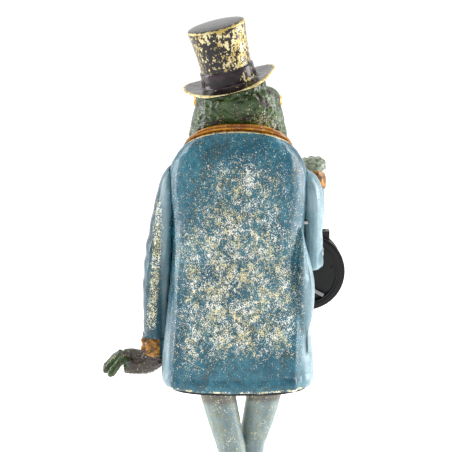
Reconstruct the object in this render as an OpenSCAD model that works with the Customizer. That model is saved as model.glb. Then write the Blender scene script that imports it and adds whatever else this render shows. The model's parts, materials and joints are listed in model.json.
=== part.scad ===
// Mechanical bank: a seated frog in a top hat and tail coat who drops a coin
// from his raised right hand into a round money drum on his knee, and nods.
// He faces -Y, his right side is at -X, and the shelf he sits on is the plane
// z = 0; the lower legs hang in front of the shelf. Millimetres.

/* [Body] */
// Half the width of the coat at the hem
hem_half_width = 50.5; // [47:0.5:52]
// Half the width of the coat at the shoulders
shoulder_half_width = 45.5; // [44.5:0.5:47]
// Depth of the coat behind the split line, at the hem
back_depth = 36.5; // [35:0.5:39]
// Depth of the coat in front of the split line, at the hem
front_depth = 42; // [40:0.5:44]
// Wall of the cast coat shells
coat_wall = 3; // [2.6:0.1:3.2]
// How far the base plate stands below the hem
base_stand = 2; // [1.5:0.1:2.5]
// Thickness of the base plate
base_thick = 4; // [3.5:0.1:5]

/* [Head and hat] */
// Height of the neck pin above the shelf
neck_height = 150; // [149:0.5:151]
// Radius of the turned part of the neck about its pin
neck_radius = 23.5; // [23:0.25:24]
// Half the width of the turned part of the neck
neck_half_width = 30.5; // [29.5:0.25:30.75]
// How far the hat leans to the frog's left, in degrees
hat_lean = 13.8; // [8:0.2:15]
// How far the hat leans back, in degrees
hat_lean_back = 6; // [2:0.5:8]
// Height of the hat's crown
crown_height = 40; // [36:0.5:44]
// Radius of the hat's crown at its waist
crown_radius = 16.5; // [16.3:0.1:17.5]
// Radius of the hat's brim
brim_radius = 30.5; // [28:0.5:32]

/* [Coin arm] */
// Swing of the forearm from raised to coin drop, in degrees
arm_swing = 42; // [30:1:42]
// Throw of the two cranks that the pull rod joins
crank_throw = 7; // [6.5:0.1:7]
// Throw of the small crank that nods the head
nod_throw = 3.9; // [3.4:0.1:4]
// Radius of the cross shaft
shaft_radius = 2; // [1.8:0.1:2]
// Radius of the elbow and neck pins
pin_radius = 1.6; // [1.4:0.1:1.7]
// Radial running clearance of shafts and pins
running_gap = 0.05; // [0.03:0.01:0.08]

/* [Money drum] */
// Radius of the drum's rear flange
drum_radius = 27; // [26:0.5:28]
// Length of the drum along its axis
drum_depth = 24; // [23:0.5:26]
// Wall of the drum
drum_wall = 2.4; // [2:0.1:2.6]
// Length of the coin slot
slot_length = 28; // [26:0.5:30]
// Width of the coin slot
slot_width = 4.8; // [4.6:0.1:5.5]

/* [Hidden] */

// Paint and metal colours
coat_blue = [0.16, 0.38, 0.47];
trim_orange = [0.72, 0.40, 0.08];
skin_green = [0.17, 0.26, 0.14];
hat_black = [0.10, 0.08, 0.10];
trouser_grey = [0.33, 0.39, 0.42];
iron_black = [0.05, 0.05, 0.06];
steel = [0.62, 0.63, 0.65];
brass = [0.72, 0.55, 0.22];

// Points that the parts share
neck_pivot = [0, 0, neck_height];
shoulder_pivot = [0, 0, 131];
elbow_pivot = [-49, -12, 86];
drum_centre = [-47, -60, 60.8];
hat_seat = [5, 3, 198.5];
eye_socket = [19, -25, 184.5];
touch_gap = 0.06;
body_ring_points = 32;
limb_ring_points = 16;

// Smooth curve through a list of keys, with so many steps from key to key
function catmull(a, b, c, d, t) =
    0.5 * (2 * b + (c - a) * t + (2 * a - 5 * b + 4 * c - d) * t * t
        + (3 * b - a - 3 * c + d) * t * t * t);
function through(keys, steps) = concat(
    [for (i = [0:len(keys) - 2], s = [0:steps - 1])
        catmull(keys[max(i - 1, 0)], keys[i], keys[i + 1], keys[min(i + 2, len(keys) - 1)],
            s / steps)],
    [keys[len(keys) - 1]]);
function unit(v) = v / norm(v);

// A level body section: [z, half width, depth behind, depth in front, squareness, tilt, y]
function body_ring(k, grow) = [for (i = [0:body_ring_points - 1])
    let(a = 360 * i / body_ring_points, e = 2 / k[4],
        px = sign(cos(a)) * pow(abs(cos(a)), e) * (k[1] + grow),
        py = sign(sin(a)) * pow(abs(sin(a)), e) * ((sin(a) > 0 ? k[2] : k[3]) + grow))
    [px, k[6] + py, k[0] + k[5] * (py > 0 ? 1 : 0.5) * py]];

// Rings square to a limb's own line: each key is [x, y, z, radius across, radius along]
function limb_rings(keys, across, grow, count) = [for (i = [0:len(keys) - 1])
    let(k = keys[i], before = keys[max(i - 1, 0)], after = keys[min(i + 1, len(keys) - 1)],
        d = unit([for (j = [0:2]) after[j] - before[j]]),
        u = unit(across - d * (d * across)), v = cross(d, u))
    [for (s = [0:count - 1]) let(a = 360 * s / count)
        [k[0], k[1], k[2]] + (k[3] + grow) * cos(a) * u + (k[4] + grow) * sin(a) * v]];

// A closed solid through rings of equal length
module loft(rings) {
    n = len(rings[0]);
    m = len(rings);
    sides = [for (j = [0:m - 2], i = [0:n - 1]) let(h = (i + 1) % n)
        each [[j * n + i, (j + 1) * n + h, j * n + h],
              [j * n + i, (j + 1) * n + i, (j + 1) * n + h]]];
    foot = [for (i = [0:n - 1]) i];
    top = [for (i = [n - 1:-1:0]) (m - 1) * n + i];
    polyhedron([for (r = rings) each r], concat([foot], [top], sides));
}
// A closed ring-shaped solid through rings that return to the first
module ring_loft(rings) {
    n = len(rings[0]);
    m = len(rings);
    polyhedron([for (r = rings) each r],
        [for (j = [0:m - 1], i = [0:n - 1]) let(h = (i + 1) % n, q = (j + 1) % m)
            each [[j * n + i, q * n + h, j * n + h], [j * n + i, q * n + i, q * n + h]]]);
}
module limb(keys, across = [1, 0, 0], steps = 2, grow = 0, count = limb_ring_points) {
    loft(limb_rings(through(keys, steps), across, grow, count));
}
// One sculpted casting, meshed whole
module casting() { resize([0, 0, 0]) union() children(); }
// A rod of a radius from point to point
module rod(from, to, r, fn = 48) {
    d = to - from;
    translate(from)
        rotate([0, acos(d[2] / norm(d)), atan2(d[1], d[0])])
            cylinder(h = norm(d), r = r, $fn = fn);
}
// Cylinder along X from x0 to x1 through a point's y and z
module x_bar(p, x0, x1, r, fn = 48) {
    translate([x0, p[1], p[2]]) rotate([0, 90, 0]) cylinder(h = x1 - x0, r = r, $fn = fn);
}
module y_bar(p, y0, y1, r, fn = 48) {
    translate([p[0], y1, p[2]]) rotate([90, 0, 0]) cylinder(h = y1 - y0, r = r, $fn = fn);
}

// ---------------------------------------------------------------- coat
neck_ring_z = 154.5;
coat_keys = [
    [base_stand, hem_half_width - 1.2, back_depth - 1.5, front_depth - 1.5, 2.7, 0, 0],
    [6, hem_half_width, back_depth, front_depth, 2.7, 0, 0],
    [20, hem_half_width - 0.6, back_depth - 0.3, front_depth + 1, 2.6, 0, 0],
    [42, hem_half_width - 3.2, back_depth - 2, front_depth + 0.5, 2.5, 0, 0],
    [66, shoulder_half_width - 0.7, back_depth - 3.5, front_depth - 1, 2.5, 0, 0],
    [90, shoulder_half_width - 2.5, back_depth - 4.5, front_depth - 4, 2.5, 0.04, 0],
    [110, shoulder_half_width - 2, back_depth - 5.5, front_depth - 6.5, 2.5, 0.1, 0],
    [126, shoulder_half_width, back_depth - 7, front_depth - 8, 2.5, 0.2, 0],
    [137, shoulder_half_width - 0.2, back_depth - 7.7, front_depth - 9, 2.45, 0.4, 0],
    [144, shoulder_half_width - 2, back_depth - 9.5, front_depth - 10, 2.4, 0.62, 0],
    [148.5, shoulder_half_width - 5.2, back_depth - 12.2, front_depth - 10.2, 2.35, 0.78, 0],
    [152, shoulder_half_width - 9, back_depth - 13.9, front_depth - 10, 2.3, 0.86, 0],
    [neck_ring_z, shoulder_half_width - 11.6, back_depth - 15, front_depth - 10, 2.3, 0.9, 0]
];
collar_rebate = 0.2;
collar_keys = [
    [152.5, shoulder_half_width - 8.9, back_depth - 13.7, front_depth - 9.4, 2.3, 0.88, 0],
    [154.8, shoulder_half_width - 10.5, back_depth - 14.7, front_depth - 9.8, 2.3, 0.9, 0],
    [156.4, shoulder_half_width - 11.7, back_depth - 15.5, front_depth - 10.2, 2.3, 0.9, 0],
    [157.2, shoulder_half_width - 12, back_depth - 15.8, front_depth - 10.4, 2.3, 0.9, 0]
];
screw_heights = [48, 92];
post_radius = 4.9;
post_facets = 18;
post_hole_facets = 20;
pin_hole_facets = 18;
boss_spots = [[33, 19], [33, -22]];

module coat_solid(grow = 0) {
    loft(concat([for (k = coat_keys) body_ring(k, grow)],
        [body_ring(coat_keys[len(coat_keys) - 1], -12)]));
}
// The hollow of the coat runs out through the hem and the neck
module coat_hollow() {
    keys = coat_keys;
    first = body_ring(keys[0], -coat_wall);
    last = body_ring(keys[len(keys) - 1], -coat_wall);
    loft(concat([[for (p = first) p - [0, 0, 10]]],
        [for (k = keys) body_ring(k, -coat_wall)],
        [[for (p = last) p + [0, 0, 12]]]));
}
// The collar's seat is cut from the top of both shells
module collar_band(grow, reach) {
    keys = collar_keys;
    loft(concat([[for (p = body_ring(keys[0], -12)) p - [0, 0, reach]]],
        [[for (p = body_ring(keys[0], grow)) p - [0, 0, reach]]],
        [for (k = keys) body_ring(k, grow)],
        [[for (p = body_ring(keys[len(keys) - 1], grow)) p + [0, 0, reach]]]));
}
module pivot_holes(r_shaft, r_pin) {
    x_bar(shoulder_pivot, -60, -30, r_shaft, 32);
    x_bar(neck_pivot, -37.2, 37.2, r_pin, 32);
}
module coat_half_bounds(side) {
    translate([-80, side > 0 ? 0 : -100, -20]) cube([160, 100, 240]);
}
// Bosses for the base screws, tied to the side walls
module base_bosses(y) {
    for (x = [-1, 1] * boss_spots[0][0]) {
        translate([x, y, base_thick + touch_gap])
            cylinder(h = 13, r = 4.4, $fn = 24);
        translate([x > 0 ? x : x - 12, y - 1.5, base_thick + touch_gap]) cube([12, 3, 12]);
    }
}
module screw_posts(y0, y1, hole) {
    for (z = screw_heights) difference() {
        y_bar([0, 0, z], y0, y1, post_radius, post_facets);
        y_bar([0, 0, z], y0 < 0 ? y0 : -1, y0 < 0 ? 1 : 24, hole, post_hole_facets);
    }
}
bush_radius = 3.4;
// A fold of cloth stands out from the coat's right side, behind and below the elbow
side_fold = [
    [-39.6, 13, 107, 2, 5], [-40.4, 13.5, 96, 3.2, 8], [-41.4, 14, 84, 5.4, 10], [-42.4, 14.5, 72, 7, 11],
    [-42.5, 14.5, 60, 7, 11], [-42.6, 14.5, 50, 6, 10], [-42.8, 14, 42, 4.2, 8], [-43, 14, 35, 2, 5]
];
module coat_back() {
    color(coat_blue) casting() difference() {
        union() {
            intersection() {
                union() {
                    difference() {
                        union() {
                            coat_solid();
                            limb(side_fold);
                        }
                        coat_hollow();
                    }
                    intersection() {
                        coat_solid(-0.5);
                        union() {
                            base_bosses(boss_spots[0][1]);
                            screw_posts(0, 50, 1.5);
                            x_bar(shoulder_pivot, -50, -39.5, 6.2, 28);
                            // Lug from the back wall for the inner end of the cross shaft
                            translate([-4, 0, shoulder_pivot[2] - 6]) cube([4, 40, 12]);
                        }
                    }
                }
                coat_half_bounds(1);
            }
            x_bar(shoulder_pivot, -4, 0, 6, 28);
        }
        collar_band(touch_gap, collar_rebate);
        pivot_holes(bush_radius + 0.03, pin_radius + 0.12);
        x_bar(shoulder_pivot, -4.5, 0.5, bush_radius + 0.03, 32);
        for (x = [-1, 1] * boss_spots[0][0])
            translate([x, boss_spots[0][1], 0]) cylinder(h = 14, r = 1.7, $fn = 20);
        arm_fixing_holes();
    }
}
module coat_front() {
    color(coat_blue) casting() difference() {
        intersection() {
            union() {
                difference() {
                    coat_solid();
                    coat_hollow();
                }
                intersection() {
                    coat_solid(-0.5);
                    union() {
                        base_bosses(boss_spots[1][1]);
                        screw_posts(-50, 0, 2.15);
                        x_bar(shoulder_pivot, -50, -39.5, 6.2, 28);
                    }
                }
                lapels();
            }
            coat_half_bounds(-1);
        }
        collar_band(touch_gap, collar_rebate);
        pivot_holes(bush_radius + 0.03, pin_radius + 0.12);
        for (z = screw_heights) y_bar([0, 0, z], -60, -20, 2.15, 20);
        for (x = [-1, 1] * boss_spots[0][0])
            translate([x, boss_spots[1][1], 0]) cylinder(h = 14, r = 1.7, $fn = 20);
        x_bar(elbow_pivot, -60, -41.2, pin_radius + 0.12, pin_hole_facets);
        leg_fixing_holes();
        y_bar([0, 0, tie_height], -60, -27, 1.3, 20);
        // Room for the cross shaft's inner lug
        translate([0, 0, -0.01]) x_bar(shoulder_pivot, -4.5, 0.5, 7, 24);
    }
}
// The coat's fronts stand proud of the waistcoat, parted in a V above the waist
lapel_rise = 1.6;
module lapels() {
    difference() {
        coat_solid(lapel_rise);
        coat_solid(-0.8);
        translate([0, -20, 0]) rotate([90, 0, 0]) linear_extrude(60)
            polygon([[0, 62], [-11, 100], [-20, 150], [-20, 200], [20, 200], [20, 150], [11, 100]]);
        translate([0, -20, 0]) rotate([90, 0, 0]) linear_extrude(60)
            polygon([[-13, -5], [-5, 38], [0, 55], [5, 38], [13, -5]]);
        for (z = screw_heights) y_bar([0, 0, z], -60, -20, 4.7, 20);
        translate([-80, -24, -20]) cube([160, 100, 240]);
        translate([-80, -100, 132]) cube([160, 200, 100]);
    }
}
module collar() {
    // Turned-over band with a rounded top edge
    color(trim_orange) ring_loft([
        body_ring(collar_keys[0], 0), body_ring(collar_keys[1], 0.5), body_ring(collar_keys[2], 0),
        body_ring(collar_keys[3], -1.6), body_ring(collar_keys[2], -3.2),
        body_ring(collar_keys[1], -3.3), body_ring(collar_keys[0], -3.4)
    ]);
}
module base_outline(inset) {
    polygon([for (p = body_ring(coat_keys[0], -inset)) [p[0], p[1]]]);
}
module base_plate() {
    color(iron_black) difference() {
        linear_extrude(base_thick) base_outline(coat_wall + 0.35);
        for (spot = boss_spots, x = [-1, 1]) translate([x * spot[0], spot[1], -1]) {
            cylinder(h = 10, r = 2, $fn = 32);
            cylinder(h = 2.9, r = 3.7, $fn = 32);
        }
    }
}
module base_screws() {
    color(steel) for (spot = boss_spots, x = [-1, 1])
        translate([x * spot[0], spot[1], 0.4]) difference() {
            union() {
                cylinder(h = 1.4, r = 3.5, $fn = 32);
                cylinder(h = 12.5, r = 1.6, $fn = 32);
            }
            translate([-4, -0.4, -0.1]) cube([8, 0.8, 0.8]);
        }
}
// Depth of the coat's front wall on the centre line at each screw
function front_depth_at(z) = lookup(z, [for (k = coat_keys) [k[0], k[3]]]);
module coat_screws() {
    color(brass) for (z = screw_heights) {
        face = -front_depth_at(z) - 0.35;
        difference() {
            union() {
                y_bar([0, 0, z], face - 1.2, face, 4.2);
                translate([0, face - 1.2, z]) scale([1, 0.45, 1]) sphere(r = 3.6, $fn = 48);
                y_bar([0, 0, z], face, -0.5, 1.9);
                y_bar([0, 0, z], -0.6, 14, 1.4);
            }
            translate([-5, face - 3.2, z - 0.4]) cube([10, 1, 0.8]);
        }
    }
}

// ---------------------------------------------------------------- left arm
left_sleeve = [
    [33, 3, 150, 3, 5], [40.4, 2, 140.5, 6.6, 9.6], [43.6, 2, 132, 7.6, 12.2], [46.6, 1, 115, 8.6, 12.5],
    [50.4, -1, 92, 9.4, 12], [53.2, -5, 66, 9.3, 11.4], [54, -10, 42, 8.6, 10.4],
    [54.3, -14, 29, 8.3, 9.6]
];
left_cuff_keys = [
    [54.3, -13.6, 30.5, 9.1, 10.5], [54.4, -14.6, 27.6, 9.6, 11],
    [54.5, -16, 22, 9.6, 11], [54.6, -17.2, 17.5, 9, 10.2]
];
arm_screw_spots = [[1, 5, 118], [-1, 6, 109]];
module arm_fixing_holes() {
    for (s = arm_screw_spots)
        x_bar(s, min(s[0] * 36, s[0] * 60), max(s[0] * 36, s[0] * 60), 1.7, 20);
}
module left_arm() {
    color(coat_blue) casting() difference() {
        union() {
            limb(left_sleeve);
            limb(left_cuff_keys, steps = 1);
            // Two cast cuff buttons
            translate([62, -9, 26.5]) sphere(r = 2.6, $fn = 12);
            translate([62.4, -11.5, 20.5]) sphere(r = 2.4, $fn = 12);
        }
        coat_solid(touch_gap);
        difference() {
            limb(concat(left_sleeve, [[54.6, -18, 12, 8.3, 9.6]]), steps = 1, grow = -3, count = 12);
            translate([30, -30, 128]) cube([60, 60, 60]);
            // Land that the arm screw bites
            x_bar(arm_screw_spots[0], 40, 58, 4.5, 20);
        }
        x_bar(arm_screw_spots[0], 36, 52, 1.5, 20);
    }
}
left_palm = [
    [54.6, -16.5, 20, 5, 6], [55.2, -19, 13.5, 6.2, 7.2], [59, -22, 9, 7, 8],
    [66, -24, 7.4, 6.8, 8.6], [72, -25, 7.6, 7, 9], [76, -25.5, 7.4, 6.6, 8.4]
];
// A finger from knuckle to tip: start, tip, and how high its knuckle arches
function finger_keys(from, to, arch, r) = [
    [from[0], from[1], from[2], r, r],
    concat(from + (to - from) * 0.35 + [0, 0, arch], [r * 1.02, r * 1.02]),
    concat(from + (to - from) * 0.72 + [0, 0, arch * 0.5], [r * 0.85, r * 0.85]),
    concat(to, [r * 0.9, r * 0.8]),
    concat(to + unit(to - from) * r * 0.8, [r * 0.3, r * 0.3])
];
left_fingers = [
    [[72, -19.5, 8.5], [84.5, -12, 3], 5, 3], [[74, -23, 9], [88, -20.5, 3], 5.5, 3.1],
    [[74, -27, 9], [88.5, -29.5, 3], 5, 3.1], [[71, -31, 8], [82, -38, 3], 4, 2.9]
];
hand_facets = 10;
hand_lift = 0.29;
module left_hand() {
    color(skin_green) casting() intersection() {
        difference() {
            union() {
                limb(left_palm, across = [0, 1, 0]);
                for (f = left_fingers)
                    limb(finger_keys(f[0] + [0, 0, hand_lift], f[1], f[2], f[3]), across = [0, 0, 1],
                        count = hand_facets);
                translate([54.8, -17.6, 15]) rotate([-20, 0, 0]) cylinder(h = 12, r = 4.6, $fn = 24);
            }
            coat_solid(touch_gap);
            difference() {
                limb(left_cuff_keys, steps = 1, grow = touch_gap);
                translate([54.8, -17.6, 15]) rotate([-20, 0, 0]) translate([0, 0, -5])
                    cylinder(h = 30, r = 4.6, $fn = 24);
            }
        }
        translate([30, -60, 0.2]) cube([80, 80, 60]);
    }
}

// ---------------------------------------------------------------- right arm
right_sleeve = [
    [-40.5, 4, 142.5, 2.5, 5], [-45, 3.2, 138, 4.6, 9], [-46.6, 2.4, 133.6, 6.4, 11.6],
    [-47.8, 2, 127, 7.2, 12.4], [-48.8, -1.5, 112, 6.6, 12], [-48.8, -5.5, 99, 6.5, 12],
    [-48.8, -9.5, 89, 6.6, 12.3], [-48.9, -12.3, 80, 6.4, 11.6], [-49, -13, 75.5, 5.6, 8.6],
    [-49, -13, 73.6, 3, 4.5]
];
sleeve_cavity = [
    [-48.4, 2.8, 136.6, 2.4, 7], [-48.9, 2.6, 132.8, 3.7, 9.3], [-49, 1.8, 127, 4.6, 9.6],
    [-48.9, 0.4, 121, 5.2, 9.4],
    [-48.8, -4, 107, 5.1, 9.4], [-48.8, -8.5, 94, 5.1, 9.6], [-48.9, -11.6, 86, 5.1, 10],
    [-49.2, -12.3, 80, 5.2, 8.8], [-49.2, -12.6, 76.4, 5, 5]
];
module right_upper_arm() {
    color(coat_blue) casting() difference() {
        union() {
            limb(right_sleeve);
            hull() {
                x_bar(elbow_pivot, -51.5, -43, 12, 32);
                x_bar(elbow_pivot, -55.6, -51.5, 9.8, 32);
            }
        }
        coat_solid(touch_gap);
        limb(sleeve_cavity, steps = 1, count = 14);
        hull() {
            x_bar(elbow_pivot, -51.5, -30, 9.9, 32);
            x_bar(elbow_pivot, -54, -51.5, 8.2, 32);
        }
        x_bar(shoulder_pivot, -48.5, -40, 4, 20);
        // Opening in front of the elbow for the forearm's swing
        translate([-60.5, 0, 0]) intersection() {
            translate([6.5, elbow_pivot[1] - 40, elbow_pivot[2] - 5.5]) cube([30, 40, 33]);
            translate([0, elbow_pivot[1], elbow_pivot[2]]) rotate([0, 90, 0])
                cylinder(h = 60, r = 26, $fn = 24);
        }
        x_bar(elbow_pivot, -60, -30, pin_radius + 0.05, 28);
        x_bar(arm_screw_spots[1], -46.8, -36, 1.5, 20);
    }
}
module arm_screws() {
    color(steel) for (s = arm_screw_spots) {
        inner = s[0] * 39.3;
        tip = s[0] * (s[0] > 0 ? 50 : 46.2);
        x_bar(s, min(inner, tip), max(inner, tip), 1.45);
        x_bar(s, min(inner, inner - s[0] * 2), max(inner, inner - s[0] * 2), 3);
    }
}
// The forearm at rest leans forward from the elbow; the hand is held out over the drum
lug_x = [-53.2, -48.6];
hub_x = -44.8;
bush_outer = 3;
forearm_sleeve = [
    [-49.4, -13.4, 89, 3.4, 5.4], [-49.4, -15.6, 93.5, 4, 6.2], [-49.6, -18.4, 99, 4.2, 7.2],
    [-49.8, -22.4, 107, 7, 8.2], [-50, -26.6, 116, 7.6, 8.3], [-50.1, -30.6, 125, 7.5, 8.1]
];
forearm_core = [
    [-49.7, -19.6, 102, 3, 4.6], [-49.8, -22.4, 108, 4.8, 6], [-50, -26.6, 116.5, 5.4, 6.1],
    [-50.1, -31.8, 128, 5.3, 5.9]
];
forearm_cuff = [
    [-50.1, -30.3, 124.6, 8.1, 8.7], [-50.1, -31.2, 126.8, 8.7, 9.3],
    [-50.1, -33, 131.4, 8.7, 9.3], [-50.1, -34.2, 134.4, 8, 8.6]
];
right_palm = [
    [-50.1, -33.4, 131, 4.8, 5], [-50.1, -35, 134.6, 5, 4.6], [-50.3, -36.8, 137, 6.8, 4.8],
    [-51, -39.4, 139.4, 7.6, 4.4], [-51.8, -43.4, 140.9, 7.4, 3.9]
];
right_fingers = [
    [[-54.4, -40, 139.8], [-57.6, -48, 136.2], 1.8, 2.4],
    [[-53, -42.8, 140.9], [-56.5, -55, 137.6], 1.8, 2.5],
    [[-49.5, -43.8, 140.9], [-49.5, -57.4, 138.2], 1.8, 2.5],
    [[-46.5, -40.8, 140.5], [-42.5, -52, 137.6], 1.8, 2.4]
];
crank_start = -35.9;
function about(pivot, r, a) = pivot + [0, r * cos(a), r * sin(a)];
module right_forearm() {
    color(coat_blue) casting() difference() {
        union() {
            limb(forearm_sleeve);
            limb(forearm_cuff, steps = 1);
            limb(right_palm);
            for (f = right_fingers)
                limb(finger_keys(f[0], f[1], f[2], f[3]), across = [1, 0, 0], count = 10);
            x_bar(elbow_pivot, lug_x[0], lug_x[1], 7.4, 36);
            x_bar(elbow_pivot, lug_x[1] - 0.1, hub_x, 4, 32);
            // Tail that carries the lower crank pin
            hull() {
                x_bar(elbow_pivot, -50.6, lug_x[1], 4, 24);
                x_bar(about(elbow_pivot, crank_throw, crank_start), -50.6, lug_x[1], 2.2, 24);
            }
            x_bar(about(elbow_pivot, crank_throw, crank_start), -49, -46, 1.1, 24);
        }
        x_bar(elbow_pivot, -60, -30, bush_outer + 0.02, 36);
        limb(forearm_core, steps = 1, count = 10);
        // Core hole on the side towards the coat
        x_bar([0, -23, 109], -49, -30, 3, 20);
    }
}
module elbow_bush() {
    color(brass) difference() {
        x_bar(elbow_pivot, lug_x[0], hub_x, bush_outer);
        x_bar(elbow_pivot, lug_x[0] - 1, hub_x + 1, pin_radius + running_gap);
    }
}
module elbow_pin() {
    color(steel) {
        x_bar(elbow_pivot, -55.7, -41.4, pin_radius);
        x_bar(elbow_pivot, -56.4, -55.66, 2.6);
    }
}
rod_x = [-48.3, -46.4];
module pull_rod() {
    low = about(elbow_pivot, crank_throw, crank_start);
    high = about(shoulder_pivot, crank_throw, crank_start);
    length = norm(high - low - [high[0] - low[0], 0, 0]);
    lean = atan2(low[1] - high[1], high[2] - low[2]);
    color(steel) translate([rod_x[0], low[1], low[2]]) rotate([lean, 0, 0])
        rotate([90, 0, 90]) linear_extrude(rod_x[1] - rod_x[0]) difference() {
            union() {
                circle(r = 2.2, $fn = 40);
                translate([0, length]) circle(r = 2.2, $fn = 40);
                translate([-1.2, 0]) square([2.4, length]);
            }
            circle(r = 1.1 + running_gap, $fn = 40);
            translate([0, length]) circle(r = 1.1 + running_gap, $fn = 40);
        }
}
module shoulder_crank() {
    pin = about(shoulder_pivot, crank_throw, crank_start);
    color(steel) difference() {
        union() {
            x_bar(shoulder_pivot, -50.6, -48.6, 3.3);
            hull() {
                x_bar(shoulder_pivot, -50.6, -48.6, 3.2);
                x_bar(pin, -50.6, -48.6, 2.2);
            }
            x_bar(pin, -49, -46, 1.1);
        }
        x_bar(shoulder_pivot, -52, -48, shaft_radius + 0.01);
    }
}

// ---------------------------------------------------------------- shaft and balance
module cross_shaft() { color(steel) x_bar(shoulder_pivot, -50.6, 8.4, shaft_radius); }
module shaft_bushes() {
    color(brass) for (x = [[-45.6, -39.4], [-4.2, 0.2]]) difference() {
        x_bar(shoulder_pivot, x[0], x[1], bush_radius);
        x_bar(shoulder_pivot, x[0] - 1, x[1] + 1, shaft_radius + running_gap);
    }
}
weight_angle = -60;
weight_throw = 15;
module counterweight_arm() {
    color(steel) difference() {
        union() {
            x_bar(shoulder_pivot, -26, -18, 4.4);
            translate([-24.5, 0, shoulder_pivot[2]]) rotate([weight_angle, 0, 0])
                translate([0, 0, -2]) cube([5, 7.46, 4]);
        }
        x_bar(shoulder_pivot, -27, -17, shaft_radius + 0.01);
    }
}
module counterweight() {
    seat = about(shoulder_pivot, weight_throw, weight_angle);
    color(iron_black) x_bar(seat, -26.5, -6.5, 7.5, 64);
}
// Torsion coil round the shaft, from the inner lug to the counterweight's hub
spring_wire = 0.45;
spring_turns = 7;
module balance_spring() {
    radius = shaft_radius + 1.6;
    steps = 9;
    keys = [for (i = [0:spring_turns * steps]) let(a = 360 * i / steps)
        [-16.6 + 11.2 * i / (spring_turns * steps), radius * cos(a), shoulder_pivot[2] + radius * sin(a)]];
    color(steel) casting() loft([for (i = [0:len(keys) - 1])
        let(k = keys[i], d = unit(keys[min(i + 1, len(keys) - 1)] - keys[max(i - 1, 0)]),
            u = unit([1, 0, 0] - d * d[0]), v = cross(d, u))
        [for (s = [0:4]) k + spring_wire * (cos(72 * s) * u + sin(72 * s) * v)]]);
}
tail_x = [9, 12];
nod_start = -111;
module nod_crank() {
    pin = about(shoulder_pivot, nod_throw, nod_start);
    color(steel) difference() {
        union() {
            x_bar(shoulder_pivot, 4.4, 8.4, 6.4);
            x_bar(pin, 8, tail_x[1] + 0.6, 1.25);
        }
        x_bar(shoulder_pivot, 3, 8.41, shaft_radius + 0.01);
    }
}

// ---------------------------------------------------------------- head
module neck_pin() { color(steel) x_bar(neck_pivot, -37, 37, pin_radius); }
head_keys = [
    [154, 20, 15, 20, 2.2, 0, -10], [157, 27, 19.5, 32, 2.3, 0, -10],
    [162, 31.4, 23, 37, 2.3, 0, -10], [168, 30.6, 25, 38, 2.3, 0, -10],
    [175, 29.2, 26, 35, 2.3, 0, -10], [182, 27.4, 26, 29, 2.3, 0, -8.5],
    [188.5, 25.4, 25, 23, 2.25, 0, -6], [193, 22.3, 21.5, 18, 2.2, 0, -3.5],
    [196.4, 17, 16, 13.5, 2.1, 0, -1], [198, 9, 8, 8, 2, 0, 0]
];
// Turned part of the neck: every section square to the neck pin is round
module neck_turning(grow) {
    steps = 10;
    profile = concat([[0, -neck_half_width - grow]],
        [for (i = [1:steps - 1]) let(t = -1 + 2 * i / steps, s = sin(90 * t))
            [(neck_radius + grow) * pow(1 - pow(abs(s), 2.6), 1 / 2.6), s * (neck_half_width + grow)]],
        [[0, neck_half_width + grow]]);
    translate(neck_pivot) rotate([0, 90, 0]) rotate_extrude($fn = 36) polygon(profile);
}
module hat_frame() { translate(hat_seat) rotate([-hat_lean_back, hat_lean, 0]) children(); }
module head() {
    color(skin_green) casting() difference() {
        union() {
            loft([for (k = through(head_keys, 2)) body_ring(k, 0)]);
            difference() {
                neck_turning(0);
                translate([-60, -60, neck_height - 60 - 7]) cube([120, 120, 60]);
            }
            for (x = [-1, 1]) translate([x * eye_socket[0], eye_socket[1], eye_socket[2]])
                sphere(r = 9.2, $fn = 18);
            // Brow that the hat sits on
            hat_frame() translate([-2.5, -2, -5.5]) scale([1.05, 1, 0.5]) sphere(r = 18.5, $fn = 20);
            hat_frame() translate([0, 0, -8]) cylinder(h = 12, r = 13.6, $fn = 32);
        }
        // Nothing of the head rises over the hat's seat outside its spigot
        hat_frame() difference() {
            cylinder(h = 30, r = 60, $fn = 24);
            translate([0, 0, -1]) cylinder(h = 5, r = 13.6, $fn = 32);
            translate([-60, -60, -1]) cube([120, 33, 40]);
        }
        hat_frame() translate([0, 0, -0.01]) difference() {
            cylinder(h = 30, r = brim_radius + 1.2, $fn = 32);
            translate([0, 0, -1]) cylinder(h = 5, r = 13.6, $fn = 32);
        }
        // Hollow of the casting, open at the neck, with a web for the tail
        difference() {
            union() {
                translate([0, -10, 168]) scale([1.02, 1.05, 0.72]) sphere(r = 26, $fn = 20);
                translate([0, 0, neck_height]) scale([1.36, 1, 1])
                    cylinder(h = 40, r = 19.5, center = true, $fn = 28);
            }
            translate([5.9, -60, neck_height - 10]) cube([3, 120, 24]);
            hat_frame() translate([0, 0, -14]) cylinder(h = 30, r = 5, $fn = 24);
        }
        x_bar(neck_pivot, -40, 40, pin_radius + 0.12, 32);
        hat_frame() translate([0, 0, -30]) cylinder(h = 40, r = 1.8, $fn = 20);
        hat_frame() translate([0, 0, -30]) cylinder(h = 15.95, r = 3.5, $fn = 20);
        for (x = [-1, 1]) eye_seat(x, 0.05);
        for (p = rivet_spots) x_bar(p, 5, 13, 1.25, 20);
        // Mouth line, cut round the muzzle
        mouth_cut();
    }
}
module mouth_cut() {
    difference() {
        translate([-60, -70, 164.6]) cube([120, 54, 1.1]);
        loft([for (k = head_keys) body_ring(k, -1.2)]);
    }
}
eye_radius = 6.4;
eye_aim = [52, -28];
module eye_seat(side, gap) {
    translate([side * eye_socket[0], eye_socket[1], eye_socket[2]])
        rotate([0, 0, side * eye_aim[0]]) rotate([90 + 18, 0, 0]) translate([0, 0, 5.2])
            cylinder(h = 9, r = eye_radius + gap, $fn = 32);
}
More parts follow.
